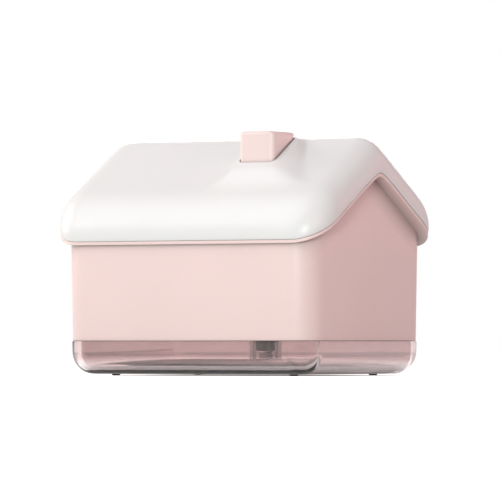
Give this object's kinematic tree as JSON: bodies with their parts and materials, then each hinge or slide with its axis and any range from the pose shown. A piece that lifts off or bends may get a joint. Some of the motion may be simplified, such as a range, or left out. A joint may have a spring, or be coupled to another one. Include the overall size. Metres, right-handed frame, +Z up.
{
  "type": "house-shaped tabletop humidifier",
  "caption": "Small house with a puffed roof over a clear base tank; mist leaves through a square chimney on the front slope, and the house lifts off for filling.",
  "frame": {"origin": "centre of the foot print, on the table", "axes": "+X along the ridge, +Z up; the slope with the chimney faces -Y"},
  "size_m": [0.1654, 0.1266, 0.1266],
  "materials": {
    "tank_clear": "clear, tinted pink, polished",
    "foot_rubber": "matte",
    "house_pink": "satin",
    "roof_white": "satin gloss",
    "silicone": "matte",
    "steel": "bright",
    "inner_white": "satin",
    "disc_brass": "polished",
    "board_green": "solder resist",
    "parts_black": "moulded",
    "wire_red": "insulation",
    "chimney_pink": "satin",
    "sleeve_clear": "clear, polished",
    "wick_cotton": "pressed cotton, damp"
  },
  "bodies": {
    "tank": {"water_tank": "tank_clear", "tank_feet": "foot_rubber"},
    "house": {"house_shell": "house_pink", "roof_liner": "house_pink", "roof_cap": "roof_white", "floor_plate": "house_pink", "plate_gasket": "silicone", "plate_screws": "steel", "atomiser_seat": "inner_white", "seat_screws": "steel", "disc_gasket": "silicone", "atomiser_disc": "disc_brass", "disc_clamp": "inner_white", "control_board": "board_green", "board_screws": "steel", "board_parts": "parts_black", "usb_socket": "steel", "tact_switch": "parts_black", "disc_wires": "wire_red"},
    "chimney": {"chimney_nozzle": "chimney_pink", "nozzle_seal": "silicone"},
    "button": {"power_button": "roof_white"},
    "sleeve": {"wick_sleeve": "sleeve_clear", "sleeve_seal": "silicone"},
    "wick": {"wick_stick": "wick_cotton", "wick_spring": "steel"}
  },
  "joints": [
    {"name": "house_lift", "type": "slide", "parent": "tank", "child": "house", "axis": [0, 0, 1], "range_m": [0, 0.11]},
    {"name": "chimney_pull", "type": "slide", "parent": "house", "child": "chimney", "axis": [0, 0, 1], "range_m": [0, 0.045]},
    {"name": "button_press", "type": "slide", "parent": "house", "child": "button", "axis": [0, -1, 0], "range_m": [0, 0.0008], "stiffness_N_per_m": 600, "springref_m": -0.0006},
    {"name": "sleeve_turn", "type": "hinge", "parent": "house", "child": "sleeve", "pos_m": [0.0275, -0.0233, 0.05], "axis": [0, 0, 1], "range_deg": [0, 60]},
    {"name": "wick_press", "type": "slide", "parent": "sleeve", "child": "wick", "axis": [0, 0, -1], "range_m": [0, 0.0018], "stiffness_N_per_m": 120, "springref_m": -0.003, "deforming": ["wick_spring"]}
  ]
}
